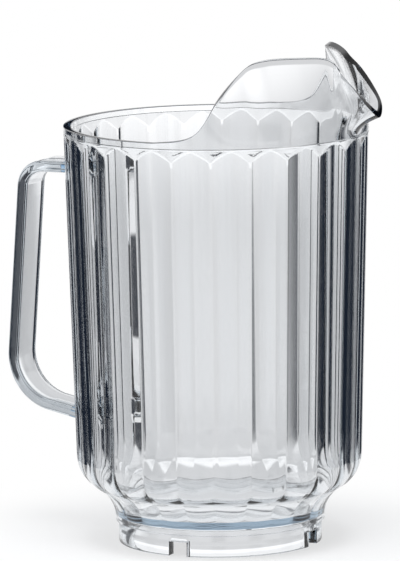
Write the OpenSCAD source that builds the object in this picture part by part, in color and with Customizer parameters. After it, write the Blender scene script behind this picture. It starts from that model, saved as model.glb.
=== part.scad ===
// Clear fluted pitcher: body shell, notched foot ring, rim with a raised spout, bonded handle.
// Millimetres. +Z is up, +X points out of the spout, the origin is on the table on the body's axis.

/* [Body shell] */
// Outer diameter at the top of the shell
rim_d = 127; // [110:1:150]
// Outer diameter where the shoulder starts
base_d = 119.6; // [108:0.2:126]
// Outer diameter of the neck above the foot
neck_d = 87.4; // [76:0.2:94]
// Height of the shell's top face
shell_top = 172.5; // [140:0.5:200]
// Wall thickness
wall = 3.2; // [2.8:0.1:4]
// Radius of both curves of the shoulder
shoulder_r = 16; // [14:0.5:20]
// Height of the straight neck above the foot ring
neck_h = 0.4; // [0.2:0.1:3]
// Thickness of the floor
floor_t = 3.5; // [2.5:0.1:5]
// Depth of the recess under the floor that takes the foot ring
recess_h = 2.6; // [2.2:0.1:4]
// Width of the shell's bottom edge round that recess
recess_land = 3.6; // [2.5:0.1:5]

/* [Flutes] */
// Number of bulging flutes round the shell
flute_count = 24; // [16:2:32]
// Depth of the valleys between two flutes, below the crests
flute_depth = 1.2; // [0.8:0.05:1.7]
// Plain band left above the flutes
flute_margin = 0.6; // [0.5:0.1:6]
// Height over which the valleys ramp out, which leaves arches at the flutes' tops
flute_arch = 4.8; // [3:0.1:8]

/* [Foot ring] */
// How far the foot ring is set in from the shell's neck
foot_step = 1.2; // [0.4:0.1:2]
// Height of the foot ring below the shell
foot_h = 9; // [7:0.2:14]
// Thickness of the ring's lip that enters the recess
lip_t = 2.1; // [1.5:0.1:4]
// Clear space above the lip in the recess
lip_clear = 0.6; // [0.2:0.1:1]
// Number of drain notches
notch_count = 4; // [2:1:8]
// Width of a drain notch
notch_w = 8; // [5:0.1:12]
// Height of a drain notch
notch_h = 6; // [4.5:0.1:6.5]

/* [Rim and spout] */
// Height of the plain rim band
band_h = 2.5; // [2:0.1:6]
// Rise of the spout's crown above the rim
spout_rise = 32; // [24:0.5:40]
// How far the crown leans in from the rim circle
crown_lean = 13.3; // [8:0.1:16]
// Half the width of the pour notch at its ears
ear_half = 10; // [8:0.1:13]
// How far the pouring lip reaches past the rim circle
lip_reach = 10.5; // [6:0.1:13]
// Height of the pouring lip above the rim
lip_rise = 6; // [3:0.1:9]
// Thickness of the spout's free edge
edge_t = 2.4; // [1.8:0.1:3]

/* [Handle] */
// Width of the handle across the hand
grip_w = 18.5; // [12:0.5:22]
// Thickness of the handle
grip_t = 4.6; // [4:0.2:7]
// Corner radius of the handle's section
grip_round = 1.5; // [0.8:0.1:1.9]
// Drop from the shell's top face to the upper arm's centre line
upper_drop = 18; // [13:0.5:30]
// Lift of the lower arm's end above the shoulder
lower_lift = 13; // [8:0.2:30]
// Reach of the grip's upper corner from the upper pad
upper_reach = 21.2; // [16:0.2:36]
// Reach of the grip's lower corner from the lower pad
lower_reach = 31.6; // [26:0.2:42]
// Centre line radius of the upper bend
upper_bend = 9; // [6:0.2:14]
// Centre line radius of the lower bend
lower_bend = 21; // [12:0.5:24]
// Downward slope of the lower arm towards the shell, in degrees
lower_slope = 12; // [0:1:20]
// How far a handle pad stands out from the shell
pad_proud = 1.2; // [0.8:0.1:3]
// Margin of a handle pad round the arm
pad_margin = 1; // [0.5:0.1:2]

/* [Root studs] */
// Diameter of a root stud
stud_d = 2.6; // [2:0.1:2.8]
// Depth of a stud's socket in a handle pad
stud_in_pad = 2.4; // [1:0.1:2.6]
// Depth of a stud's socket in the handle
stud_in_handle = 6; // [4:0.1:8]
// Bond gap all round a stud and round the foot ring's lip
bond_gap = 0.1; // [0.05:0.01:0.3]

/* [Hidden] */
$fn = 96;
clear_tint = [0.82, 0.88, 0.93, 0.45];
edge_tint = [0.45, 0.60, 0.75, 0.7];
over = 1;

rim_r = rim_d / 2;
base_r = base_d / 2;
neck_r = neck_d / 2;
foot_r = neck_r - foot_step;
recess_r = neck_r - recess_land;
lip_r = recess_r - bond_gap;
bore_r = lip_r - lip_t;
lip_h = recess_h - lip_clear;

// The shoulder is a hollow curve up from the neck and a round one on to the wall.
shoulder_turn = acos(1 - (base_r - neck_r) / (2 * shoulder_r));
neck_z = foot_h + neck_h;
wall_z = neck_z + 2 * shoulder_r * sin(shoulder_turn);
taper = atan((rim_r - base_r) / (shell_top - wall_z));
floor_z = foot_h + recess_h + floor_t;
floor_angle = asin((floor_z - neck_z) / (shoulder_r + wall));
curve_steps = 5;

// Two triangles between four points
function quad(a, b, c, d) = [[a, b, c], [a, c, d]];

// Outer radius of the plain wall at a height
function wall_r(z) = base_r + (z - wall_z) * tan(taper);

// Shoulder points from neck to wall, moved inwards by an inset, from a start angle of the hollow curve
function shoulder(inset, start) = concat(
    [for (i = [0:curve_steps]) let (a = start + (shoulder_turn - start) * i / curve_steps)
        [neck_r + shoulder_r - (shoulder_r + inset) * cos(a), neck_z + (shoulder_r + inset) * sin(a)]],
    [for (i = [1:curve_steps]) let (a = shoulder_turn * (1 - i / curve_steps))
        [base_r - shoulder_r + (shoulder_r - inset) * cos(a), wall_z - (shoulder_r - inset) * sin(a)]]
);

// Rows of the shell's outer face from its bottom edge to its top edge, as [radius, height]
flute_end = shell_top - flute_margin - flute_arch;
arch_steps = 4;
shell_rows = concat(
    [[neck_r, foot_h]],
    shoulder(0, 0),
    [for (i = [0:arch_steps]) let (z = flute_end + flute_arch * i / arch_steps) [wall_r(z), z]],
    [[rim_r, shell_top]]
);
flute_steps = 4;
shell_columns = flute_count * flute_steps;

// How deep the valleys are at a height: they fade in over the hollow of the shoulder.
function valley_depth(z) = flute_depth * min(1, max(0, (z - neck_z) / (wall_z - neck_z)));

// Radius of the fluted face in one column: bulging between sharp valleys, which ramp out at the top
function fluted_r(row, column) = let (
        across = (column % flute_steps) / flute_steps * 2 - 1,
        bulge = valley_depth(row.y) * across * across,
        ramp = flute_depth * min(1, 1 - (row.y - flute_end) / flute_arch)
    ) row.x - max(0, min(bulge, ramp));

module shell_blank() {
    turn = 360 / shell_columns;
    start = -180 / flute_count;
    layer = len(shell_rows);
    points = [for (c = [0:shell_columns - 1], row = shell_rows) let (
            a = start + c * turn,
            r = fluted_r(row, c)
        ) [r * cos(a), r * sin(a), row.y]];
    faces = concat(
        [for (c = [0:shell_columns - 1], i = [0:layer - 2]) let (
                a = c * layer + i,
                b = ((c + 1) % shell_columns) * layer + i
            ) each quad(a, a + 1, b + 1, b)],
        [[for (c = [0:shell_columns - 1]) c * layer]],
        [[for (c = [shell_columns - 1:-1:0]) c * layer + layer - 1]]
    );
    polyhedron(points, faces);
}

module shell_cavity() {
    top_z = shell_top + over;
    top_r = rim_r - wall + over * tan(taper);
    rotate_extrude()
        polygon(concat([[0, floor_z]], shoulder(wall, floor_angle), [[top_r, top_z], [0, top_z]]));
}

// Where the handle's arms meet the shell: height, and the pad's flat face from the body's axis
upper_z = shell_top - upper_drop;
lower_z = wall_z + lower_lift;
upper_face = wall_r(upper_z) + pad_proud;
lower_face = wall_r(lower_z) + pad_proud;

// A block that runs from inside the wall out to a pad's flat face
module handle_pad(face, z, height) {
    depth = pad_proud + wall;
    translate([-face, -grip_w / 2 - pad_margin, z - height / 2])
        cube([depth, grip_w + 2 * pad_margin, height]);
}

// A round bar along an arm's axis, through the joint between handle and pad
module stud_bar(face, z, slope, d, out, in) {
    translate([-face, 0, z])
        rotate([0, 90 + slope, 0])
            translate([0, 0, -out])
                cylinder(d = d, h = out + in);
}

module stud_socket(face, z, slope) {
    stud_bar(face, z, slope, stud_d + 2 * bond_gap, stud_in_handle, stud_in_pad);
}

lower_pad_h = grip_t / cos(lower_slope) + 2 * pad_margin;

module body_shell() {
    color(clear_tint)
        difference() {
            union() {
                shell_blank();
                handle_pad(upper_face, upper_z, grip_t + 2 * pad_margin);
                handle_pad(lower_face, lower_z, lower_pad_h);
            }
            shell_cavity();
            translate([0, 0, foot_h - over])
                cylinder(r = recess_r, h = recess_h + over);
            stud_socket(upper_face, upper_z, 0);
            stud_socket(lower_face, lower_z, lower_slope);
        }
}

module foot_ring() {
    color(clear_tint)
        difference() {
            union() {
                cylinder(r = foot_r, h = foot_h);
                cylinder(r = lip_r, h = foot_h + lip_h);
            }
            translate([0, 0, -over])
                cylinder(r = bore_r, h = foot_h + lip_h + 2 * over);
            for (i = [0:notch_count - 1])
                rotate([0, 0, i * 360 / notch_count])
                    translate([bore_r - over, -notch_w / 2, -over])
                        cube([foot_r - bore_r + 2 * over, notch_w, notch_h + over]);
        }
}

// The rim's free edge on one side, from behind the spout to the pouring lip. Each entry is the angle
// on the rim that it rises from, its own radius and angle, and its height above the rim.
rim_z = shell_top + band_h;
tip_r = rim_r + lip_reach;
ear_r = rim_r - crown_lean / 2;
ear_z = 0.95 * spout_rise;
ear_angle = asin(ear_half / ear_r);

// A point of the pour notch's edge: shares of the way from ear to lip in reach, drop and width
function notch_point(foot_angle, reach, drop, width) =
    [foot_angle, ear_r + (tip_r - ear_r) * reach, ear_angle * width, ear_z + (lip_rise - ear_z) * drop];

edge_path = [
    [104, rim_r, 104, 0],
    [90, rim_r, 90, 0],
    [74, rim_r, 74, 0.1 * spout_rise],
    [64, rim_r - 0.1 * crown_lean, 64, 0.56 * spout_rise],
    [52.5, rim_r - 0.66 * crown_lean, 53.5, 0.9 * spout_rise],
    [42, rim_r - crown_lean, 42, spout_rise],
    [29, rim_r - 0.86 * crown_lean, 24, spout_rise],
    [19, ear_r, ear_angle, ear_z],
    notch_point(14, 0.31, 0.22, 0.97),
    notch_point(10, 0.65, 0.52, 0.79),
    notch_point(5.5, 0.9, 0.8, 0.56),
    [0, tip_r, 0, lip_rise],
    notch_point(-5.5, 0.9, 0.8, -0.56)
];
edge_steps = 3;
back_steps = 15;
rows = 7;

// A smooth curve through four neighbouring entries
function smooth(a, b, c, d, t) = 0.5 * (2 * b + (c - a) * t + (2 * a - 5 * b + 4 * c - d) * t * t
    + (3 * b - a - 3 * c + d) * t * t * t);

last = len(edge_path) - 2;
front_half = [for (i = [1:last - 1], j = [0:edge_steps - 1])
    smooth(edge_path[i - 1], edge_path[i], edge_path[i + 1], edge_path[i + 2], j / edge_steps)];
back_half = [for (i = [0:back_steps - 1]) let (a = 180 - 90 * i / back_steps) [a, rim_r, a, 0]];
half_edge = concat(back_half, front_half);
other_half = [for (i = [len(half_edge) - 1:-1:1]) let (e = half_edge[i]) [-e[0], e[1], -e[2], e[3]]];
edge = concat(half_edge, [edge_path[last]], other_half);
columns = len(edge);

// A point of the rim's outer face: it leaves the shell upright and bends over to the free edge.
function outer_point(k, v) = let (
        e = edge[(k + columns) % columns],
        foot = [rim_r * cos(e[0]), rim_r * sin(e[0]), shell_top],
        top = [e[1] * cos(e[2]), e[1] * sin(e[2]), rim_z + e[3]],
        bend = [foot.x, foot.y, shell_top + 0.5 * (top.z - shell_top)]
    ) (1 - v) * (1 - v) * foot + 2 * v * (1 - v) * bend + v * v * top;

// The matching point of the inner face lies square to the outer face, and level with it at the foot.
function inner_point(k, v) = let (
        small = 0.02,
        along = outer_point(k + 1, v) - outer_point(k - 1, v),
        upward = outer_point(k, v + small) - outer_point(k, v - small),
        square = cross(along, upward),
        level = v == 0 ? [square.x, square.y, 0] : square,
        thickness = wall + (edge_t - wall) * v
    ) outer_point(k, v) + thickness * level / norm(level);

module rim_spout() {
    layer = rows + 1;
    side = columns * layer;
    points = concat(
        [for (k = [0:columns - 1], i = [0:rows]) outer_point(k, i / rows)],
        [for (k = [0:columns - 1], i = [0:rows]) inner_point(k, i / rows)]
    );
    faces = [for (k = [0:columns - 1]) let (a = k * layer, b = ((k + 1) % columns) * layer)
        each concat(
            [for (i = [0:rows - 1]) each quad(a + i, a + i + 1, b + i + 1, b + i)],
            [for (i = [side:side + rows - 1]) each quad(a + i, b + i, b + i + 1, a + i + 1)],
            quad(a + rows, side + a + rows, side + b + rows, b + rows),
            quad(a, b, side + b, side + a)
        )];
    color(clear_tint)
        polyhedron(points, faces);
}

// The handle's centre line runs out from the upper pad, down the grip and back along the lower arm.
upper_corner = [-upper_face - upper_reach, upper_z];
lower_corner = [-lower_face - lower_reach, lower_z + lower_reach * tan(lower_slope)];
grip_run = lower_corner - upper_corner;
grip_heading = atan2(grip_run.y, grip_run.x) + 360;
upper_turn = grip_heading - 180;
lower_turn = 360 - lower_slope - grip_heading;
upper_tangent = upper_bend * tan(upper_turn / 2);
lower_tangent = lower_bend * tan(lower_turn / 2);

// Points of the centre line as [x, z, heading]
upper_start = upper_corner + [upper_tangent, 0];
upper_centre = upper_start - [0, upper_bend];
lower_start = lower_corner - lower_tangent * [cos(grip_heading), sin(grip_heading)];
lower_centre = lower_start + lower_bend * [-sin(grip_heading), cos(grip_heading)];
bend_steps = 10;
function bend(centre, radius, heading, turn) =
    [for (i = [0:bend_steps]) let (h = heading + turn * i / bend_steps)
        [centre.x + radius * sin(h), centre.y - radius * cos(h), h]];
grip_path = concat(
    [[-upper_face, upper_z, 180]],
    bend(upper_centre, upper_bend, 180, upper_turn),
    bend(lower_centre, lower_bend, grip_heading, lower_turn),
    [[-lower_face, lower_z, 360 - lower_slope]]
);

// The handle's section: a rectangle with round corners, as [across the grip's thickness, across its width]
corner_steps = 2;
grip_outline = [for (q = [0:3], i = [0:corner_steps]) let (
        a = 90 * q + 90 * i / corner_steps,
        x = (q == 0 || q == 3 ? 1 : -1) * (grip_t / 2 - grip_round),
        y = (q < 2 ? 1 : -1) * (grip_w / 2 - grip_round)
    ) [x + grip_round * cos(a), y + grip_round * sin(a)]];

// One ring of the handle. The last one is cut upright, flush with its pad.
function grip_ring(i) = let (
        p = grip_path[i],
        upright = i == len(grip_path) - 1,
        lean = upright ? [0, 1 / cos(lower_slope)] : [-sin(p[2]), cos(p[2])]
    ) [for (q = grip_outline) [p.x - q.x * lean.x, q.y, p.y - q.x * lean.y]];

module handle() {
    ring = len(grip_outline);
    count = len(grip_path);
    points = [for (i = [0:count - 1]) each grip_ring(i)];
    faces = concat(
        [for (i = [0:count - 2], j = [0:ring - 1]) let (a = i * ring + j, b = i * ring + (j + 1) % ring)
            each quad(a, a + ring, b + ring, b)],
        [[for (j = [0:ring - 1]) j]],
        [[for (j = [ring - 1:-1:0]) (count - 1) * ring + j]]
    );
    color(clear_tint)
        difference() {
            polyhedron(points, faces);
            stud_socket(upper_face, upper_z, 0);
            stud_socket(lower_face, lower_z, lower_slope);
        }
}

module root_stud(face, z, slope) {
    color(edge_tint)
        stud_bar(face, z, slope, stud_d, stud_in_handle - bond_gap, stud_in_pad - bond_gap);
}

module upper_stud() {
    root_stud(upper_face, upper_z, 0);
}

module lower_stud() {
    root_stud(lower_face, lower_z, lower_slope);
}

body_shell();
foot_ring();
rim_spout();
handle();
upper_stud();
lower_stud();
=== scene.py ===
"""Looks of a clear fluted pitcher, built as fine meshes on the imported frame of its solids.

Metres throughout. +Z is up, +X points out of the spout, and the origin is on the table on the body's axis.
Each sub-assembly is a class that holds its sizes, models its mesh with bmesh operators and dresses it.
"""

from __future__ import annotations

import logging
import math
from dataclasses import dataclass, replace
from enum import Enum

import bmesh
import bpy
from mathutils import Matrix, Vector

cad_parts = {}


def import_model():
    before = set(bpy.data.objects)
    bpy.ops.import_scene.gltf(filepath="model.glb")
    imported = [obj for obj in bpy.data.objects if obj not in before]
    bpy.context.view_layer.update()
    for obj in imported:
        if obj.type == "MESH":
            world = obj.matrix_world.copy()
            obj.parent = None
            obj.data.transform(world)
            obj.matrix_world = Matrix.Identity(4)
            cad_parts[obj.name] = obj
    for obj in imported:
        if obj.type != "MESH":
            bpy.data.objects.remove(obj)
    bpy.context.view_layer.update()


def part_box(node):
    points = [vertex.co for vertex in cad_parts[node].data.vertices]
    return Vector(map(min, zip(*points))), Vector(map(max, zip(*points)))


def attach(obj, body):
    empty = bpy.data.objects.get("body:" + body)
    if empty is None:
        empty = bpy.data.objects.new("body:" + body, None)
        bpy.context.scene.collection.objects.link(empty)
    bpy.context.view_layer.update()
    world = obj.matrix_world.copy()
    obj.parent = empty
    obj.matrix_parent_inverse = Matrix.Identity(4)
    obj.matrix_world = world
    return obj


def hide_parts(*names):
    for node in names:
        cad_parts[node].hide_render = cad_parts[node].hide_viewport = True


LOG = logging.getLogger("pitcher")
MM = 0.001
BODY = "root"
FULL_TURN = 2 * math.pi
SEAM_GAP = 0.05 * MM
RIM_SINK = 0.05 * MM
MERGE = 0.002 * MM
# Vertex attribute that masks where free edges get painted shade.
PAINTED_SHADE_MASK = "free_edge"
PLAIN_CREASE = 30.0
WHITE = (1.0, 1.0, 1.0, 1.0)
MAPPED = ("From Min", "From Max", "To Min", "To Max")


class Slot(Enum):
    """Material slots of the record."""

    CLEAR = "clear_plastic"
    STUD = "stud_plastic"


class Side(Enum):
    """Which skin of a wall a vertex belongs to."""

    OUTER = 1
    INNER = 2


@dataclass(frozen=True)
class ClearPlastic:
    """Polished see-through plastic that takes a little light on its way through.

    Attributes:
        name: Name of the Blender material.
        ior: How strongly the surface bends light.
        passed: Colour of the absorbing volume.
        density: Absorption for each metre of plastic.
        sheen_range: Lowest and highest roughness over the surface.
        wave_height: Height of the moulded surface's slow waves.
        painted_edge_shade: Painted shade, a near-black colour along free edges where a piece marks them,
            standing in for the dark that the rounded edges show.
        handling_scale: How fine the uneven polish is.
        handling_detail: How many finer layers the uneven polish has.
        handling_span: Noise values that get the lowest and the highest roughness.
        wave_scale: How close the slow waves lie.
        wave_detail: How many finer layers the waves have.
    """

    name: str
    ior: float
    passed: tuple[float, float, float]
    density: float
    sheen_range: tuple[float, float]
    wave_height: float
    painted_edge_shade: tuple[float, float, float] | None = None
    handling_scale: float = 55.0
    handling_detail: float = 5.0
    handling_span: tuple[float, float] = (0.35, 0.75)
    wave_scale: float = 38.0
    wave_detail: float = 1.0

    def material(self) -> bpy.types.Material:
        """Makes the node material.

        Returns:
            The material, with its volume filled by plain absorption.
        """
        material = bpy.data.materials.new(self.name)
        material.use_nodes = True
        nodes = material.node_tree.nodes
        links = material.node_tree.links
        skin = nodes["Principled BSDF"]
        fill_in(skin, {"Base Color": WHITE, "Transmission Weight": 1.0, "IOR": self.ior})
        place = nodes.new("ShaderNodeTexCoord").outputs["Object"]

        handling = nodes.new("ShaderNodeTexNoise")
        fill_in(handling, {"Scale": self.handling_scale, "Detail": self.handling_detail})
        links.new(place, handling.inputs["Vector"])
        gloss = nodes.new("ShaderNodeMapRange")
        fill_in(gloss, dict(zip(MAPPED, (*self.handling_span, *self.sheen_range))))
        links.new(handling.outputs["Fac"], gloss.inputs["Value"])
        links.new(gloss.outputs["Result"], skin.inputs["Roughness"])

        waves = nodes.new("ShaderNodeTexNoise")
        fill_in(waves, {"Scale": self.wave_scale, "Detail": self.wave_detail})
        links.new(place, waves.inputs["Vector"])
        relief = nodes.new("ShaderNodeBump")
        fill_in(relief, {"Strength": 1.0, "Distance": self.wave_height})
        links.new(waves.outputs["Fac"], relief.inputs["Height"])
        links.new(relief.outputs["Normal"], skin.inputs["Normal"])

        # Painted shade: the marked free edges get a near-black base colour that darkens the light passing
        # through them.
        if self.painted_edge_shade:
            marked = nodes.new("ShaderNodeAttribute")
            marked.attribute_name = PAINTED_SHADE_MASK
            tint = nodes.new("ShaderNodeMix")
            tint.data_type = "RGBA"
            fill_in(tint, {"A": WHITE, "B": (*self.painted_edge_shade, 1.0)})
            links.new(marked.outputs["Fac"], tint.inputs["Factor"])
            links.new(tint.outputs["Result"], skin.inputs["Base Color"])

        inside = nodes.new("ShaderNodeVolumeAbsorption")
        fill_in(inside, {"Color": (*self.passed, 1.0), "Density": self.density})
        links.new(inside.outputs["Volume"], nodes["Material Output"].inputs["Volume"])
        return material


class Pen:
    """Draws half a section in the XZ plane, straight runs by extrusion and round ones by spin."""

    def __init__(self, radius: float, height: float) -> None:
        """Puts the first point down.

        Args:
            radius: Distance of the point from the axis.
            height: Height of the point.
        """
        self.bm = bmesh.new()
        self.side = self.bm.verts.layers.int.new("side")
        self.tip = self.bm.verts.new((radius, 0.0, height))
        self.start = self.tip

    def line(self, radius: float, height: float, steps: int = 1, side: Side | None = None) -> None:
        """Draws a straight run.

        Args:
            radius: Distance of its end from the axis.
            height: Height of its end.
            steps: Number of equal edges along it.
            side: Skin that the new points belong to.
        """
        begin = self.tip.co.copy()
        end = Vector((radius, 0.0, height))
        for step in range(steps):
            self.tip = bmesh.ops.extrude_vert_indiv(self.bm, verts=[self.tip])["verts"][0]
            self.tip.co = begin.lerp(end, (step + 1) / steps)
            self._mark([self.tip], side)

    def arc(self, radius: float, height: float, angle: float, steps: int, side: Side | None = None) -> None:
        """Draws a round run about a centre.

        Args:
            radius: Distance of the arc's centre from the axis.
            height: Height of the arc's centre.
            angle: Angle of the arc about +Y.
            steps: Number of edges along it.
            side: Skin that the new points belong to.
        """
        before = set(self.bm.verts)
        made = bmesh.ops.spin(
            self.bm,
            geom=[self.tip],
            cent=(radius, 0.0, height),
            axis=(0.0, 1.0, 0.0),
            angle=angle,
            steps=steps,
        )
        self.tip = next(item for item in made["geom_last"] if isinstance(item, bmesh.types.BMVert))
        self._mark([vert for vert in self.bm.verts if vert not in before], side)

    def close(self) -> None:
        """Joins the last point to the first one."""
        self.bm.edges.new((self.tip, self.start))

    def turn(self, steps: int) -> bmesh.types.BMesh:
        """Spins the half section round the axis.

        Args:
            steps: Number of columns in the full turn.

        Returns:
            The closed body of revolution.
        """
        bmesh.ops.spin(
            self.bm,
            geom=self.bm.verts[:] + self.bm.edges[:],
            axis=(0.0, 0.0, 1.0),
            angle=FULL_TURN,
            steps=steps,
            use_merge=True,
        )
        bmesh.ops.remove_doubles(self.bm, verts=self.bm.verts[:], dist=MERGE)
        bmesh.ops.recalc_face_normals(self.bm, faces=self.bm.faces[:])
        return self.bm

    def _mark(self, verts: list[bmesh.types.BMVert], side: Side | None) -> None:
        """Notes the skin that new points belong to."""
        for vert in verts:
            vert[self.side] = side.value if side else 0


def smoothstep(value: float, low: float, high: float) -> float:
    """Share of the way from low to high, eased at both ends."""
    share = min(1.0, max(0.0, (value - low) / (high - low)))
    return share * share * (3 - 2 * share)


def make_piece(bm: bmesh.types.BMesh, name: str, crease: float) -> bpy.types.Object:
    """Turns a finished bmesh into an object with smooth faces and sharp creases.

    Args:
        bm: The mesh, which is freed.
        name: Name of the piece.
        crease: Angle in degrees above which an edge stays sharp.

    Returns:
        The new object, linked to the scene.
    """
    for face in bm.faces:
        face.smooth = True
    for edge in bm.edges:
        edge.smooth = not (edge.is_manifold and edge.calc_face_angle() > math.radians(crease))
    mesh = bpy.data.meshes.new(name)
    bm.to_mesh(mesh)
    bm.free()
    piece = bpy.data.objects.new(name, mesh)
    bpy.context.scene.collection.objects.link(piece)
    return piece


def dress(piece: bpy.types.Object, node: str, material: bpy.types.Material) -> None:
    """Gives a piece its finish and lets it stand for a node of the frame.

    Args:
        piece: The new object.
        node: Name of the node that it replaces.
        material: The finish.
    """
    piece.data.materials.clear()
    piece.data.materials.append(material)
    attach(piece, BODY)
    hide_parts(node)
    LOG.info("%s stands for %s: %d faces", piece.name, node, len(piece.data.polygons))


@dataclass
class BodyShell:
    """The fluted wall with its shoulder, neck and floor, and the two pads that carry the handle."""

    rim_r: float
    shell_top: float
    foot_h: float
    base_r: float = 59.8 * MM
    neck_r: float = 43.7 * MM
    wall: float = 3.2 * MM
    shoulder_r: float = 16 * MM
    neck_h: float = 0.4 * MM
    floor_t: float = 3.5 * MM
    recess_h: float = 2.6 * MM
    recess_land: float = 3.6 * MM
    flute_count: int = 24
    flute_depth: float = 1.2 * MM
    flute_margin: float = 0.6 * MM
    flute_arch: float = 4.8 * MM
    valley_round: float = 0.02
    valley_crowding: float = 0.72
    ramp_round: float = 0.05
    flute_columns: int = 20
    floor_steps: int = 6
    inner_curve_steps: int = 10
    inner_wall_steps: int = 8
    arch_steps: int = 24
    pad_steps: int = 14
    wall_steps: int = 3
    outer_curve_steps: int = 16
    recess_steps: int = 4
    crease: float = 38.0
    upper_drop: float = 18 * MM
    lower_lift: float = 13 * MM
    pad_proud: float = 1.2 * MM
    pad_half_w: float = 10.25 * MM
    pad_half_h: float = 3.35 * MM
    pad_fillet: float = 1.0 * MM

    def __post_init__(self) -> None:
        """Works out the heights and angles that follow from the sizes."""
        self.neck_z = self.foot_h + self.neck_h
        self.turn = math.acos(1 - (self.base_r - self.neck_r) / (2 * self.shoulder_r))
        self.wall_z = self.neck_z + 2 * self.shoulder_r * math.sin(self.turn)
        self.slope = (self.rim_r - self.base_r) / (self.shell_top - self.wall_z)
        self.floor_z = self.foot_h + self.recess_h + self.floor_t
        self.flute_end = self.shell_top - self.flute_margin - self.flute_arch
        self.upper_z = self.shell_top - self.upper_drop
        self.lower_z = self.wall_z + self.lower_lift
        self.upper_face = self.wall_r(self.upper_z) + self.pad_proud
        self.lower_face = self.wall_r(self.lower_z) + self.pad_proud

    def wall_r(self, height: float) -> float:
        """Outer radius of the plain wall at a height."""
        return self.base_r + (height - self.wall_z) * self.slope

    def build(self, material: bpy.types.Material) -> bpy.types.Object:
        """Models the shell and dresses it.

        Args:
            material: Finish of the plastic.

        Returns:
            The finished piece.
        """
        pen = self._section()
        bm = pen.turn(self.flute_count * self.flute_columns)
        self._flute(bm, pen.side)
        self._raise_pads(bm, pen.side)
        piece = make_piece(bm, "fluted_shell", self.crease)
        dress(piece, "body_shell", material)
        return piece

    def _section(self) -> Pen:
        """Draws the shell's half section, from the floor up the inside and down the outside.

        Returns:
            The pen that holds the section.
        """
        hollow_r = self.neck_r + self.shoulder_r
        round_r = self.base_r - self.shoulder_r
        inner_hollow = self.shoulder_r + self.wall
        floor_turn = math.asin((self.floor_z - self.neck_z) / inner_hollow)
        floor_r = hollow_r - inner_hollow * math.cos(floor_turn)
        pen = Pen(0.0, self.floor_z)
        pen.line(floor_r, self.floor_z, self.floor_steps, Side.INNER)
        pen.arc(hollow_r, self.neck_z, self.turn - floor_turn, self.inner_curve_steps, Side.INNER)
        pen.arc(round_r, self.wall_z, -self.turn, self.inner_curve_steps, Side.INNER)
        pen.line(self.rim_r - self.wall, self.shell_top, self.inner_wall_steps, Side.INNER)
        pen.line(self.rim_r, self.shell_top, side=Side.OUTER)
        pen.line(self.wall_r(self.flute_end), self.flute_end, self.arch_steps, Side.OUTER)
        for height in (self.upper_z, self.lower_z):
            top = height + self.pad_half_h + self.pad_fillet
            bottom = height - self.pad_half_h - self.pad_fillet
            pen.line(self.wall_r(top), top, self.wall_steps, Side.OUTER)
            pen.line(self.wall_r(bottom), bottom, self.pad_steps, Side.OUTER)
        pen.line(self.base_r, self.wall_z, self.wall_steps, Side.OUTER)
        pen.arc(round_r, self.wall_z, self.turn, self.outer_curve_steps, Side.OUTER)
        pen.arc(hollow_r, self.neck_z, -self.turn, self.outer_curve_steps, Side.OUTER)
        pen.line(self.neck_r, self.foot_h)
        pen.line(self.neck_r - self.recess_land, self.foot_h)
        pen.line(self.neck_r - self.recess_land, self.foot_h + self.recess_h)
        pen.line(0.0, self.foot_h + self.recess_h, self.recess_steps)
        return pen

    def _flute(self, bm: bmesh.types.BMesh, side: bmesh.types.BMLayerItem) -> None:
        """Crowds the columns towards the valleys and sinks the valleys between the bulging flutes.

        Args:
            bm: The plain shell.
            side: Vertex layer that names each vertex's skin.
        """
        pitch = FULL_TURN / self.flute_count
        for vert in bm.verts:
            radius = math.hypot(vert.co.x, vert.co.y)
            if radius < MERGE:
                continue
            angle = math.atan2(vert.co.y, vert.co.x)
            flute = round(angle / pitch)
            across = 2 * (angle / pitch - flute)
            across += self.valley_crowding * math.sin(math.pi * across) / math.pi
            if vert[side] == Side.OUTER.value:
                radius -= self._valley(vert.co.z, abs(across))
            angle = (flute + across / 2) * pitch
            vert.co.x = radius * math.cos(angle)
            vert.co.y = radius * math.sin(angle)

    def _valley(self, height: float, across: float) -> float:
        """How far the face lies below the crests. The valleys ramp out at the top, which leaves arches.

        Args:
            height: Height of the point.
            across: Share of the way from a flute's crest, 0, to the valley beside it, 1.

        Returns:
            Depth at that point.
        """
        from_valley = math.hypot(max(0.0, 1 - across), self.valley_round) - self.valley_round
        fade = min(1.0, max(0.0, (height - self.neck_z) / (self.wall_z - self.neck_z)))
        bulge = fade * (1 - from_valley) ** 2
        ramp = 1 - min(1.0, max(0.0, height - self.flute_end) / self.flute_arch)
        blend = max(0.0, self.ramp_round - abs(bulge - ramp)) ** 2 / (4 * self.ramp_round)
        return self.flute_depth * max(0.0, min(bulge, ramp) - blend)

    def _raise_pads(self, bm: bmesh.types.BMesh, side: bmesh.types.BMLayerItem) -> None:
        """Draws the wall out to the two flat pads at the handle's roots.

        Args:
            bm: The fluted shell.
            side: Vertex layer that names each vertex's skin.
        """
        for vert in bm.verts:
            if vert[side] != Side.OUTER.value or vert.co.x > 0:
                continue
            within_w = 1 - smoothstep(abs(vert.co.y), self.pad_half_w - self.pad_fillet, self.pad_half_w)
            for height, face in ((self.upper_z, self.upper_face), (self.lower_z, self.lower_face)):
                off = abs(vert.co.z - height)
                within_h = 1 - smoothstep(off, self.pad_half_h, self.pad_half_h + self.pad_fillet)
                vert.co.x += (-face - vert.co.x) * within_w * within_h


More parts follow.
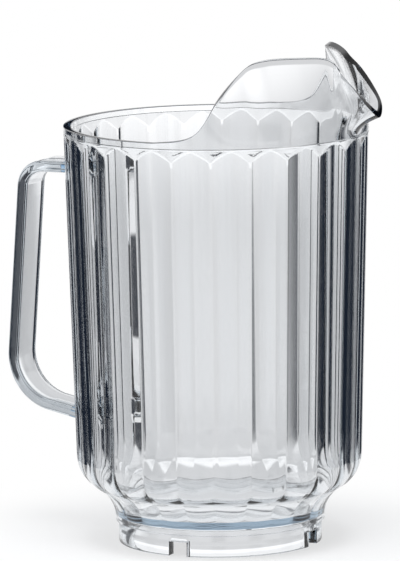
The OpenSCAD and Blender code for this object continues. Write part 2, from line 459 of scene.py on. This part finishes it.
@dataclass
class FootRing:
    """The notched ring that the pitcher stands on, with a lip that enters the shell's recess."""

    foot_r: float
    seat_z: float
    lip_top: float
    lip_r: float = 40.0 * MM
    bore_r: float = 37.9 * MM
    notch_w: float = 8 * MM
    notch_h: float = 6 * MM
    edge_round: float = 0.35 * MM
    edge_segments: int = 3
    rounded_from: float = 50.0
    crease: float = 40.0
    notch_pairs: int = 2
    columns: int = 192

    def build(self, material: bpy.types.Material) -> bpy.types.Object:
        """Models the ring and dresses it.

        Args:
            material: Finish of the plastic.

        Returns:
            The finished piece.
        """
        pen = Pen(self.bore_r, 0.0)
        seat_z = self.seat_z - SEAM_GAP
        for radius, height in (
            (self.foot_r, 0.0),
            (self.foot_r, seat_z),
            (self.lip_r, seat_z),
            (self.lip_r, self.lip_top),
            (self.bore_r, self.lip_top),
        ):
            pen.line(radius, height)
        pen.close()
        ring = make_piece(pen.turn(self.columns), "foot_ring_notched", PLAIN_CREASE)
        for pair in range(self.notch_pairs):
            self._cut_notches(ring, pair * math.pi / self.notch_pairs)
        self._round_edges(ring)
        dress(ring, "foot_ring", material)
        return ring

    def _cut_notches(self, ring: bpy.types.Object, angle: float) -> None:
        """Cuts two opposite notches with one bar across the ring.

        Args:
            ring: The plain ring.
            angle: Direction of the bar.
        """
        bm = bmesh.new()
        size = (4 * self.foot_r, self.notch_w, 2 * self.notch_h)
        place = Matrix.Rotation(angle, 4, "Z") @ Matrix.Diagonal((*size, 1.0))
        bmesh.ops.create_cube(bm, size=1.0, matrix=place)
        bar = make_piece(bm, "notch_bar", PLAIN_CREASE)
        apply_modifier(ring, "BOOLEAN", operation="DIFFERENCE", solver="EXACT", object=bar)
        bpy.data.objects.remove(bar)

    def _round_edges(self, ring: bpy.types.Object) -> None:
        """Rounds the ring's moulded edges a little."""
        apply_modifier(
            ring,
            "BEVEL",
            width=self.edge_round,
            segments=self.edge_segments,
            limit_method="ANGLE",
            angle_limit=math.radians(self.rounded_from),
            harden_normals=False,
        )
        bm = bmesh.new()
        bm.from_mesh(ring.data)
        for face in bm.faces:
            face.smooth = True
        for edge in bm.edges:
            edge.smooth = not (edge.is_manifold and edge.calc_face_angle() > math.radians(self.crease))
        bm.to_mesh(ring.data)
        bm.free()


def apply_modifier(piece: bpy.types.Object, kind: str, **settings: object) -> None:
    """Runs one modifier on a piece and keeps its result as the mesh.

    Args:
        piece: The object to change.
        kind: Blender's name for the kind of modifier.
        **settings: The modifier's own settings.
    """
    modifier = piece.modifiers.new(kind.title(), kind)
    for key, value in settings.items():
        setattr(modifier, key, value)
    bpy.context.view_layer.update()
    graph = bpy.context.evaluated_depsgraph_get()
    result = bpy.data.meshes.new_from_object(piece.evaluated_get(graph))
    old = piece.data
    piece.modifiers.clear()
    piece.data = result
    name = old.name
    bpy.data.meshes.remove(old)
    result.name = name


@dataclass(frozen=True)
class EdgePoint:
    """A point of the rim's free edge.

    Attributes:
        foot: Angle on the rim that it rises from, in degrees.
        radius: Its own distance from the axis.
        angle: Its own angle, in degrees.
        rise: Its height above the rim.
    """

    foot: float
    radius: float
    angle: float
    rise: float

    def values(self) -> Vector:
        """The four numbers as one vector, for smoothing."""
        return Vector((self.foot, self.radius, self.angle, self.rise))

    def mirrored(self) -> EdgePoint:
        """The same point on the other side of the spout."""
        return EdgePoint(-self.foot, self.radius, -self.angle, self.rise)


@dataclass
class RimSpout:
    """The plain rim band and the crown that rises from it to a narrow pour notch.

    It enters the shell a little, so that the bonded seam hardly shows.
    """

    rim_r: float
    shell_top: float
    wall: float
    band_h: float = 2.5 * MM
    spout_rise: float = 32 * MM
    crown_lean: float = 13.3 * MM
    ear_half: float = 10 * MM
    lip_reach: float = 10.5 * MM
    lip_rise: float = 6 * MM
    edge_t: float = 2.4 * MM
    edge_round: float = 1.0 * MM
    edge_segments: int = 6
    ear_share: float = 0.95
    crease: float = 50.0
    back_steps: int = 60
    edge_steps: int = 10
    rows: int = 16

    def __post_init__(self) -> None:
        """Works out the free edge all the way round."""
        self.foot_z = self.shell_top - RIM_SINK
        self.rim_z = self.shell_top + self.band_h
        self.edge = self._free_edge()

    def build(self, material: bpy.types.Material) -> bpy.types.Object:
        """Models the rim and spout and dresses it.

        Args:
            material: Finish of the plastic.

        Returns:
            The finished piece.
        """
        bm = bmesh.new()
        column = bm.verts.layers.int.new("column")
        row = bm.verts.layers.int.new("row")
        side = bm.verts.layers.int.new("side")
        mark = bm.verts.layers.float.new(PAINTED_SHADE_MASK)
        ring = bmesh.ops.create_circle(bm, radius=self.rim_r, segments=len(self.edge))["verts"]
        for number, vert in enumerate(ring):
            vert[column] = number
            vert[side] = Side.OUTER.value
        edges = bm.edges[:]
        for step in range(1, self.rows + 1):
            made = bmesh.ops.extrude_edge_only(bm, edges=edges)["geom"]
            fresh = {item for item in made if isinstance(item, bmesh.types.BMVert)}
            for vert in fresh:
                vert[row] = step
            edges = [edge for edge in bm.edges if all(vert in fresh for vert in edge.verts)]
        made = bmesh.ops.extrude_face_region(bm, geom=bm.faces[:], use_keep_orig=True)["geom"]
        for item in made:
            if isinstance(item, bmesh.types.BMVert):
                item[side] = Side.INNER.value
        for vert in bm.verts:
            place = self._outer if vert[side] == Side.OUTER.value else self._inner
            vert.co = place(vert[column], vert[row] / self.rows)
        bmesh.ops.recalc_face_normals(bm, faces=bm.faces[:])
        free = [
            edge
            for edge in bm.edges
            if all(vert[row] == self.rows for vert in edge.verts)
            and edge.verts[0][side] == edge.verts[1][side]
        ]
        rounded = bmesh.ops.bevel(
            bm,
            geom=free,
            offset=self.edge_round,
            offset_type="OFFSET",
            segments=self.edge_segments,
            profile=0.5,
            affect="EDGES",
            clamp_overlap=True,
            material=-1,
        )
        # The rounded strip of the free edge is marked here for painted shade.
        fresh = set(rounded["verts"])
        strip = {face for vert in fresh for face in vert.link_faces if fresh.issuperset(face.verts)}
        for vert in fresh:
            vert[mark] = float(strip.issuperset(vert.link_faces))
        piece = make_piece(bm, "rim_and_spout", self.crease)
        dress(piece, "rim_spout", material)
        return piece

    def _notch_point(self, foot: float, reach: float, drop: float, width: float) -> EdgePoint:
        """A point of the pour notch's edge.

        Args:
            foot: Angle on the rim that it rises from, in degrees.
            reach: Share of the way out from the ear to the lip.
            drop: Share of the way down from the ear to the lip.
            width: Share of the ear's angle that is left.

        Returns:
            The point of the edge.
        """
        radius = self.ear_r + (self.tip_r - self.ear_r) * reach
        rise = self.ear_rise + (self.lip_rise - self.ear_rise) * drop
        return EdgePoint(foot, radius, self.ear_angle * width, rise)

    def _free_edge(self) -> list[EdgePoint]:
        """Runs round the free edge, from the back to the lip and back on the other side.

        Returns:
            One point for each column of the mesh.
        """
        self.tip_r = self.rim_r + self.lip_reach
        self.ear_r = self.rim_r - self.crown_lean / 2
        self.ear_rise = self.ear_share * self.spout_rise
        self.ear_angle = math.degrees(math.asin(self.ear_half / self.ear_r))
        lean, rise = self.crown_lean, self.spout_rise
        path = [
            EdgePoint(104, self.rim_r, 104, 0.0),
            EdgePoint(90, self.rim_r, 90, 0.0),
            EdgePoint(74, self.rim_r, 74, 0.1 * rise),
            EdgePoint(64, self.rim_r - 0.1 * lean, 64, 0.56 * rise),
            EdgePoint(52.5, self.rim_r - 0.66 * lean, 53.5, 0.9 * rise),
            EdgePoint(42, self.rim_r - lean, 42, rise),
            EdgePoint(29, self.rim_r - 0.86 * lean, 24, rise),
            EdgePoint(19, self.ear_r, self.ear_angle, self.ear_rise),
            self._notch_point(14, 0.31, 0.22, 0.97),
            self._notch_point(10, 0.65, 0.52, 0.79),
            self._notch_point(5.5, 0.9, 0.8, 0.56),
            EdgePoint(0, self.tip_r, 0, self.lip_rise),
            self._notch_point(-5.5, 0.9, 0.8, -0.56),
        ]
        back = [180 - 90 * step / self.back_steps for step in range(self.back_steps)]
        half = [EdgePoint(angle, self.rim_r, angle, 0.0) for angle in back]
        for first, second, third, fourth in zip(path, path[1:], path[2:], path[3:]):
            knots = [point.values() for point in (first, second, third, fourth)]
            for step in range(self.edge_steps):
                half.append(EdgePoint(*smooth_between(*knots, step / self.edge_steps)))
        return half + [path[-2]] + [point.mirrored() for point in reversed(half[1:])]

    def _outer(self, column: int, share: float) -> Vector:
        """A point of the outer skin, which leaves the shell upright and bends over to the free edge.

        Args:
            column: Number of the column.
            share: Share of the way up from the shell to the free edge.

        Returns:
            The point.
        """
        point = self.edge[column % len(self.edge)]
        foot = polar(self.rim_r, point.foot, self.foot_z)
        top = polar(point.radius, point.angle, self.rim_z + point.rise)
        bend = Vector((foot.x, foot.y, (foot.z + top.z) / 2))
        return foot * (1 - share) ** 2 + bend * 2 * share * (1 - share) + top * share**2

    def _inner(self, column: int, share: float) -> Vector:
        """The matching point of the inner skin, square to the outer one and level with it at the foot."""
        small = 0.02
        along = self._outer(column + 1, share) - self._outer(column - 1, share)
        upward = self._outer(column, share + small) - self._outer(column, share - small)
        square = along.cross(upward)
        if share == 0:
            square.z = 0.0
        rise = self.edge[column % len(self.edge)].rise
        thinned = (self.wall - self.edge_t) * min(1.0, max(0.0, rise / self.spout_rise))
        thickness = self.wall - thinned * share
        return self._outer(column, share) + square.normalized() * thickness


def polar(radius: float, angle: float, height: float) -> Vector:
    """A point at a radius, an angle in degrees and a height."""
    turned = math.radians(angle)
    return Vector((radius * math.cos(turned), radius * math.sin(turned), height))


def smooth_between(a: Vector, b: Vector, c: Vector, d: Vector, share: float) -> Vector:
    """A smooth curve from b to c that keeps the directions of its neighbours a and d."""
    straight = 2 * b + (c - a) * share
    bent = (2 * a - 5 * b + 4 * c - d) * share**2
    eased = (3 * b - a - 3 * c + d) * share**3
    return (straight + bent + eased) / 2


@dataclass
class Handle:
    """The strap-like loop handle, swept from the upper pad round two bends to the lower pad."""

    shell: BodyShell
    grip_w: float = 18.5 * MM
    grip_t: float = 4.6 * MM
    grip_round: float = 1.5 * MM
    upper_reach: float = 21.2 * MM
    lower_reach: float = 31.54 * MM
    upper_bend: float = 9 * MM
    lower_bend: float = 21 * MM
    lower_slope: float = math.radians(12)
    corner_segments: int = 8
    upper_steps: int = 4
    grip_steps: int = 12
    lower_steps: int = 5
    bend_steps: int = 20
    crease: float = 50.0

    def build(self, material: bpy.types.Material) -> bpy.types.Object:
        """Models the handle and dresses it.

        Args:
            material: Finish of the plastic.

        Returns:
            The finished piece.
        """
        shell = self.shell
        upper_corner = Vector((-shell.upper_face - self.upper_reach, 0.0, shell.upper_z))
        lower_rise = self.lower_reach * math.tan(self.lower_slope)
        lower_corner = Vector((-shell.lower_face - self.lower_reach, 0.0, shell.lower_z + lower_rise))
        grip = (lower_corner - upper_corner).normalized()
        arm_out = Vector((-1.0, 0.0, 0.0))
        arm_in = Vector((math.cos(self.lower_slope), 0.0, -math.sin(self.lower_slope)))
        upper_turn = arm_out.angle(grip)
        lower_turn = grip.angle(arm_in)
        upper_tangent = self.upper_bend * math.tan(upper_turn / 2)
        lower_tangent = self.lower_bend * math.tan(lower_turn / 2)

        bm = bmesh.new()
        end = self._section(bm, Vector((-shell.upper_face - SEAM_GAP, 0.0, shell.upper_z)))
        end = self._run(bm, end, upper_corner - arm_out * upper_tangent, self.upper_steps)
        end = self._bend(bm, end, self.upper_bend, grip, arm_out, upper_turn)
        end = self._run(bm, end, lower_corner - grip * lower_tangent, self.grip_steps)
        end = self._bend(bm, end, self.lower_bend, arm_in, grip, lower_turn)
        past = Vector((-shell.lower_face, 0.0, shell.lower_z)) + arm_in * self.grip_t
        self._run(bm, end, past, self.lower_steps)
        cut = bmesh.ops.bisect_plane(
            bm,
            geom=bm.verts[:] + bm.edges[:] + bm.faces[:],
            plane_co=(-shell.lower_face - SEAM_GAP, 0.0, 0.0),
            plane_no=(1.0, 0.0, 0.0),
            clear_outer=True,
        )
        rim = [item for item in cut["geom_cut"] if isinstance(item, bmesh.types.BMEdge)]
        bmesh.ops.edgeloop_fill(bm, edges=rim)
        bmesh.ops.recalc_face_normals(bm, faces=bm.faces[:])
        piece = make_piece(bm, "loop_handle", self.crease)
        dress(piece, "handle", material)
        return piece

    def _section(self, bm: bmesh.types.BMesh, place: Vector) -> bmesh.types.BMFace:
        """Makes the handle's section, a rectangle with round corners, square to the upper arm.

        Args:
            bm: The mesh to start.
            place: Middle of the section.

        Returns:
            The section's face.
        """
        upright = Matrix.Rotation(math.pi / 2, 4, "Y")
        size = Matrix.Diagonal((self.grip_t / 2, self.grip_w / 2, 1.0, 1.0))
        where = Matrix.Translation(place) @ upright @ size
        bmesh.ops.create_grid(bm, x_segments=1, y_segments=1, size=1.0, matrix=where)
        bmesh.ops.bevel(
            bm,
            geom=bm.verts[:],
            offset=self.grip_round,
            offset_type="OFFSET",
            segments=self.corner_segments,
            profile=0.5,
            affect="VERTICES",
            material=-1,
        )
        return bm.faces[:][0]

    def _run(
        self, bm: bmesh.types.BMesh, end: bmesh.types.BMFace, to: Vector, steps: int
    ) -> bmesh.types.BMFace:
        """Extrudes the end face along a straight run.

        Args:
            bm: The mesh.
            end: Face that the run starts from.
            to: Middle of the face that it ends at.
            steps: Number of equal lengths.

        Returns:
            The new end face.
        """
        move = (to - end.calc_center_bounds()) / steps
        for _ in range(steps):
            made = bmesh.ops.extrude_face_region(bm, geom=[end, *end.edges, *end.verts])["geom"]
            end = next(item for item in made if isinstance(item, bmesh.types.BMFace))
            bmesh.ops.translate(bm, verts=end.verts[:], vec=move)
        return end

    def _bend(
        self,
        bm: bmesh.types.BMesh,
        end: bmesh.types.BMFace,
        radius: float,
        after: Vector,
        before: Vector,
        angle: float,
    ) -> bmesh.types.BMFace:
        """Spins the end face round a bend.

        Args:
            bm: The mesh.
            end: Face that the bend starts from.
            radius: Radius of the centre line.
            after: Direction of the centre line after the bend.
            before: Direction of the centre line before the bend.
            angle: Angle of the bend.

        Returns:
            The new end face.
        """
        inward = (after - before * after.dot(before)).normalized()
        made = bmesh.ops.spin(
            bm,
            geom=[end, *end.edges, *end.verts],
            cent=end.calc_center_bounds() + inward * radius,
            axis=before.cross(inward),
            angle=angle,
            steps=self.bend_steps,
        )
        return next(item for item in made["geom_last"] if isinstance(item, bmesh.types.BMFace))


@dataclass
class RootStud:
    """A bonded pin that keys the handle to its pad, with a round edge at each end."""

    name: str
    node: str
    face: float
    height: float
    slope: float
    stud_r: float = 1.3 * MM
    in_pad: float = 2.3 * MM
    in_handle: float = 5.9 * MM
    end_round: float = 0.4 * MM
    round_steps: int = 5
    side_steps: int = 3
    columns: int = 48
    crease: float = 40.0

    def build(self, material: bpy.types.Material) -> bpy.types.Object:
        """Models the stud and dresses it.

        Args:
            material: Finish of the plastic.

        Returns:
            The finished piece.
        """
        side_r = self.stud_r - self.end_round
        pen = Pen(0.0, -self.in_handle)
        pen.line(side_r, -self.in_handle)
        pen.arc(side_r, -self.in_handle + self.end_round, -math.pi / 2, self.round_steps)
        pen.line(self.stud_r, self.in_pad - self.end_round, self.side_steps)
        pen.arc(side_r, self.in_pad - self.end_round, -math.pi / 2, self.round_steps)
        pen.line(0.0, self.in_pad)
        bm = pen.turn(self.columns)
        turned = Matrix.Rotation(math.pi / 2 + self.slope, 4, "Y")
        place = Matrix.Translation((-self.face, 0.0, self.height)) @ turned
        bmesh.ops.transform(bm, matrix=place, verts=bm.verts[:])
        piece = make_piece(bm, self.name, self.crease)
        dress(piece, self.node, material)
        return piece


@dataclass(frozen=True)
class Panel:
    """An upright white panel of the surround.

    Attributes:
        bearing: Direction of its middle, in degrees from +X.
        half_width: Angle from its middle to its edge, in degrees.
        soft: Width of its soft edge, in degrees.
        light: Brightness, where 1 is white.
    """

    bearing: float
    half_width: float
    soft: float
    light: float


@dataclass(frozen=True)
class Ring:
    """A ring of panels with dark gaps, from its lower edge up to the next ring.

    Attributes:
        low: Lower edge, in degrees above the horizon.
        soft: Width of its soft lower edge, in degrees.
        level: Brightness of the whole ring.
        panels: The panels.
    """

    low: float
    soft: float
    level: float
    panels: tuple[Panel, ...]


# Bearing 115 lies behind the pitcher in the photograph's view, and 295 on the camera's side.
ALL_ROUND = tuple(Panel(45.0 * number, 14.0, 8.0, 1.0) for number in range(8))
BEHIND = Panel(115.0, 22.0, 10.0, 1.0)
DIM_BEHIND = Panel(115.0, 22.0, 10.0, 0.82)
BACKDROP = Panel(115.0, 17.0, 8.0, 1.0)
FRONT = Panel(295.0, 58.0, 20.0, 1.4)
UNBROKEN = (Panel(0.0, 100.0, 4.0, 1.0), Panel(180.0, 100.0, 4.0, 1.0))


@dataclass(frozen=True)
class Lamp:
    """A square soft lamp that faces the middle of the pitcher.

    Attributes:
        name: Name of the lamp.
        place: Where it hangs.
        size: Length of its side.
        power: Power in watts.
    """

    name: str
    place: tuple[float, float, float]
    size: float
    power: float


@dataclass(frozen=True)
class Studio:
    """White studio: a pale floor, a white surround with dark gaps for the plastic to show, lamps and camera.

    Attributes:
        azimuth: Direction that the camera looks from, in degrees round from the front.
        elevation: Height of the camera above the horizon, in degrees.
        distance: Distance of the camera from its target.
        frame_height: Height of the picture at the target.
        target_height: Height of the picture's middle on the body's axis.
        aside: How far the axis lies to the right of the picture's middle.
        roll: Lean of the picture, in degrees.
        sensor: Width of the camera's sensor, in millimetres.
        view_end: How far the camera sees.
        floor_r: Radius of the floor.
        floor_drop: How far the floor lies below the foot.
        floor_paint: Colour of the floor.
        fade: Distances from the axis where the floor starts and ends to turn white.
        fade_white: Share of plain white at those two distances.
        fill: Colour of the surround where it only lights things.
        fill_strength: Strength of that light.
        dark: Colour of the surround's gaps.
        light: Colour of its panels.
        lamps: The lamps.
        rings: The surround, from the bottom up.
    """

    azimuth: float = 25.0
    elevation: float = 9.0
    distance: float = 2.75
    frame_height: float = 561 * 0.4164 * MM
    target_height: float = 109.2 * MM
    aside: float = 7.4 * MM
    roll: float = -0.65
    sensor: float = 36.0
    view_end: float = 20.0
    floor_r: float = 0.17
    floor_drop: float = 0.1 * MM
    floor_paint: tuple[float, float, float] = (0.86, 0.87, 0.88)
    fade: tuple[float, float] = (0.06, 0.153)
    fade_white: tuple[float, float] = (0.62, 1.0)
    fill: tuple[float, float, float] = (0.8, 0.82, 0.85)
    fill_strength: float = 0.7
    dark: tuple[float, float, float] = (0.012, 0.017, 0.028)
    light: tuple[float, float, float] = (0.99, 0.99, 1.0)
    lamps: tuple[Lamp, ...] = (
        Lamp("overhead_softbox", (0.15, -0.25, 0.95), 0.5, 6.0),
        Lamp("left_softbox", (-0.75, -0.45, 0.42), 0.34, 3.0),
    )
    rings: tuple[Ring, ...] = (
        Ring(-91.0, 1.0, 0.92, UNBROKEN),
        Ring(-34.0, 4.0, 0.9, (*ALL_ROUND, DIM_BEHIND)),
        Ring(-14.0, 1.5, 0.7, (BACKDROP, FRONT)),
        Ring(-7.9, 1.2, 1.16, (BACKDROP, FRONT)),
        Ring(-5.5, 2.0, 0.98, (*ALL_ROUND, BEHIND)),
        Ring(6.7, 0.8, 0.98, ALL_ROUND),
        Ring(8.8, 0.8, 0.98, (*ALL_ROUND, BEHIND)),
        Ring(14.0, 4.0, 0.6, UNBROKEN),
    )

    def build(self) -> None:
        """Sets up the floor, the surround, the lamps, the camera and the view transform."""
        self._floor()
        self._surround()
        for lamp in self.lamps:
            self._hang(lamp)
        self._camera()
        bpy.context.scene.view_settings.view_transform = "Standard"

    def _back(self) -> Vector:
        """Direction from the target to the camera."""
        turn, lift = math.radians(self.azimuth), math.radians(self.elevation)
        return Vector((math.sin(turn) * math.cos(lift), -math.cos(turn) * math.cos(lift), math.sin(lift)))

    def _camera(self) -> None:
        """Makes the camera at the photograph's viewing angle."""
        data = bpy.data.cameras.new("camera")
        camera = bpy.data.objects.new("camera", data)
        bpy.context.scene.collection.objects.link(camera)
        back = self._back()
        look = (-back).to_track_quat("-Z", "Y").to_matrix().to_4x4()
        right = look.to_3x3().col[0]
        target = Vector((0.0, 0.0, self.target_height)) - right * self.aside
        lean = Matrix.Rotation(math.radians(self.roll), 4, "Z")
        camera.matrix_world = Matrix.Translation(target + back * self.distance) @ look @ lean
        data.sensor_width = self.sensor
        data.lens = data.sensor_width * self.distance / self.frame_height
        data.clip_end = self.view_end
        bpy.context.scene.camera = camera

    def _hang(self, lamp: Lamp) -> None:
        """Hangs a lamp.

        Args:
            lamp: The lamp.
        """
        data = bpy.data.lights.new(lamp.name, "AREA")
        data.size = lamp.size
        data.energy = lamp.power
        box = bpy.data.objects.new(lamp.name, data)
        bpy.context.scene.collection.objects.link(box)
        spot = Vector(lamp.place)
        aim = (Vector((0.0, 0.0, self.target_height)) - spot).to_track_quat("-Z", "Y")
        box.matrix_world = Matrix.Translation(spot) @ aim.to_matrix().to_4x4()
        box.visible_transmission = False
        box.visible_glossy = False

    def _floor(self) -> None:
        """Lays a pale round floor that turns to plain white towards its edge."""
        bm = bmesh.new()
        drop = Matrix.Translation((0.0, 0.0, -self.floor_drop))
        bmesh.ops.create_circle(bm, cap_ends=True, radius=self.floor_r, segments=96, matrix=drop)
        floor = make_piece(bm, "floor", PLAIN_CREASE)
        material = bpy.data.materials.new("pale_floor")
        material.use_nodes = True
        nodes, links = material.node_tree.nodes, material.node_tree.links
        nodes.remove(nodes["Principled BSDF"])
        paint = nodes.new("ShaderNodeBsdfDiffuse")
        paint.inputs["Color"].default_value = (*self.floor_paint, 1.0)
        white = nodes.new("ShaderNodeEmission")
        place = nodes.new("ShaderNodeTexCoord")
        out = nodes.new("ShaderNodeVectorMath")
        out.operation = "LENGTH"
        links.new(place.outputs["Object"], out.inputs[0])
        fade = nodes.new("ShaderNodeMapRange")
        fade.interpolation_type = "SMOOTHSTEP"
        fill_in(fade, dict(zip(MAPPED, (*self.fade, *self.fade_white))))
        links.new(out.outputs["Value"], fade.inputs["Value"])
        seen = self._seen_rays(material.node_tree)
        share = nodes.new("ShaderNodeMath")
        share.operation = "MULTIPLY"
        links.new(fade.outputs["Result"], share.inputs[0])
        links.new(seen, share.inputs[1])
        mix = nodes.new("ShaderNodeMixShader")
        links.new(share.outputs["Value"], mix.inputs["Fac"])
        links.new(paint.outputs["BSDF"], mix.inputs[1])
        links.new(white.outputs["Emission"], mix.inputs[2])
        links.new(mix.outputs["Shader"], nodes["Material Output"].inputs["Surface"])
        floor.data.materials.append(material)
        floor.visible_transmission = False

    def _seen_rays(self, tree: bpy.types.NodeTree) -> bpy.types.NodeSocket:
        """Nodes that tell the rays that show a surface from those that only light it.

        Args:
            tree: Node tree of a material or of the world.

        Returns:
            A socket that is 1 for rays from the camera, mirrored rays and rays through clear plastic.
        """
        path = tree.nodes.new("ShaderNodeLightPath")
        seen = path.outputs["Is Camera Ray"]
        for name in ("Is Glossy Ray", "Is Transmission Ray"):
            more = tree.nodes.new("ShaderNodeMath")
            more.operation = "MAXIMUM"
            tree.links.new(seen, more.inputs[0])
            tree.links.new(path.outputs[name], more.inputs[1])
            seen = more.outputs["Value"]
        return seen

    def _surround(self) -> None:
        """Makes the white surround. Through the plastic it shows upright white panels with dark gaps."""
        world = bpy.data.worlds.new("white_surround")
        world.use_nodes = True
        bpy.context.scene.world = world
        nodes, links = world.node_tree.nodes, world.node_tree.links
        backdrop = nodes["Background"]
        panels = nodes.new("ShaderNodeBackground")
        direct = nodes.new("ShaderNodeLightPath")
        links.new(self._panel_light(world.node_tree), panels.inputs["Color"])
        fill = nodes.new("ShaderNodeBackground")
        fill_in(fill, {"Color": (*self.fill, 1.0), "Strength": self.fill_strength})
        fill_in(backdrop, {"Color": WHITE, "Strength": 1.0})
        shown = nodes.new("ShaderNodeMixShader")
        links.new(self._seen_rays(world.node_tree), shown.inputs["Fac"])
        links.new(fill.outputs["Background"], shown.inputs[1])
        links.new(panels.outputs["Background"], shown.inputs[2])
        plain = nodes.new("ShaderNodeMixShader")
        links.new(direct.outputs["Is Camera Ray"], plain.inputs["Fac"])
        links.new(shown.outputs["Shader"], plain.inputs[1])
        links.new(backdrop.outputs["Background"], plain.inputs[2])
        links.new(plain.outputs["Shader"], nodes["World Output"].inputs["Surface"])

    def _panel_light(self, tree: bpy.types.NodeTree) -> bpy.types.NodeSocket:
        """Nodes for the surround as the plastic shows it.

        Args:
            tree: The world's node tree.

        Returns:
            A socket with the colour in each direction.
        """
        direction = tree.nodes.new("ShaderNodeTexCoord").outputs["Generated"]
        parts = tree.nodes.new("ShaderNodeSeparateXYZ")
        tree.links.new(direction, parts.inputs["Vector"])
        bearing = math_node(tree, "ARCTAN2", parts.outputs["Y"], parts.outputs["X"])
        lift = math_node(tree, "DEGREES", math_node(tree, "ARCSINE", parts.outputs["Z"]))
        light: bpy.types.NodeSocket | float = 0.0
        for ring in self.rings:
            above = eased(tree, lift, ring.low - ring.soft / 2, ring.low + ring.soft / 2)
            shown = math_node(tree, "MULTIPLY", self._brightest(tree, bearing, ring.panels), ring.level)
            step = math_node(tree, "MULTIPLY", above, math_node(tree, "SUBTRACT", shown, light))
            light = math_node(tree, "ADD", light, step)
        tint = tree.nodes.new("ShaderNodeMix")
        tint.data_type = "RGBA"
        tint.clamp_factor = False
        tree.links.new(light, tint.inputs["Factor"])
        fill_in(tint, {"A": (*self.dark, 1.0), "B": (*self.light, 1.0)})
        return tint.outputs["Result"]

    def _brightest(
        self, tree: bpy.types.NodeTree, bearing: bpy.types.NodeSocket, panels: tuple[Panel, ...]
    ) -> bpy.types.NodeSocket:
        """Nodes for a ring of upright panels with dark gaps.

        Args:
            tree: The world's node tree.
            bearing: Socket with each direction's bearing.
            panels: The panels.

        Returns:
            A socket with the brightest panel's light.
        """
        light: bpy.types.NodeSocket | float = 0.0
        for panel in panels:
            turned = math_node(tree, "SUBTRACT", bearing, math.radians(panel.bearing))
            aside = math_node(tree, "COSINE", turned)
            outside = math.cos(math.radians(panel.half_width + panel.soft / 2))
            inside = math.cos(math.radians(panel.half_width - panel.soft / 2))
            light = math_node(tree, "MAXIMUM", light, eased(tree, aside, outside, inside, panel.light))
        return light


def fill_in(node: bpy.types.Node, values: dict[str, float | tuple[float, ...]]) -> None:
    """Sets a node's own sockets by their names."""
    for name, value in values.items():
        node.inputs[name].default_value = value


def math_node(
    tree: bpy.types.NodeTree, operation: str, *values: bpy.types.NodeSocket | float
) -> bpy.types.NodeSocket:
    """One Math node.

    Args:
        tree: Node tree that it is added to.
        operation: What it works out.
        *values: Sockets or plain numbers.

    Returns:
        Its result.
    """
    node = tree.nodes.new("ShaderNodeMath")
    node.operation = operation
    for socket, value in zip(node.inputs, values):
        if isinstance(value, bpy.types.NodeSocket):
            tree.links.new(value, socket)
        else:
            socket.default_value = value
    return node.outputs["Value"]


def eased(
    tree: bpy.types.NodeTree, value: bpy.types.NodeSocket, low: float, high: float, top: float = 1.0
) -> bpy.types.NodeSocket:
    """One Map Range node with eased ends.

    Args:
        tree: Node tree that it is added to.
        value: The socket to map.
        low: Value that gives 0.
        high: Value that gives the top.
        top: The highest result.

    Returns:
        Its result.
    """
    node = tree.nodes.new("ShaderNodeMapRange")
    node.interpolation_type = "SMOOTHSTEP"
    tree.links.new(value, node.inputs["Value"])
    fill_in(node, {"From Min": low, "From Max": high, "To Max": top})
    return node.outputs["Result"]


def main() -> None:
    """Builds the pitcher on its frame, piece by piece, and the studio around it."""
    logging.basicConfig(level=logging.INFO, format="%(name)s: %(message)s")
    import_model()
    Studio().build()

    plastic = ClearPlastic(
        name="clear_plastic",
        ior=1.57,
        passed=(0.38, 0.54, 0.66),
        density=22.0,
        sheen_range=(0.015, 0.045),
        wave_height=0.012 * MM,
    )
    # The rim and spout get painted shade, near black, along their rounded free edges.
    edged = replace(plastic, name="rim_plastic_painted_shade", painted_edge_shade=(0.012, 0.018, 0.03)).material()
    clear = plastic.material()
    bonded = ClearPlastic(
        name="bonded_stud_plastic",
        ior=1.04,
        passed=(0.05, 0.45, 0.75),
        density=420.0,
        sheen_range=(0.0, 0.03),
        wave_height=0.004 * MM,
    ).material()

    shell_low, shell_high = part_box("body_shell")
    shell = BodyShell(rim_r=shell_high.y, shell_top=shell_high.z, foot_h=shell_low.z)
    shell.build(clear)
    ring_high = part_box("foot_ring")[1]
    FootRing(foot_r=ring_high.y, seat_z=shell.foot_h, lip_top=ring_high.z).build(clear)
    RimSpout(rim_r=shell.rim_r, shell_top=shell.shell_top, wall=shell.wall).build(edged)
    handle = Handle(shell)
    handle.build(clear)
    upper_root = (shell.upper_face, shell.upper_z, 0.0)
    RootStud("upper_root_stud", "upper_stud", *upper_root).build(bonded)
    lower_root = (shell.lower_face, shell.lower_z, handle.lower_slope)
    RootStud("lower_root_stud", "lower_stud", *lower_root).build(bonded)


if __name__ == "__main__":
    main()
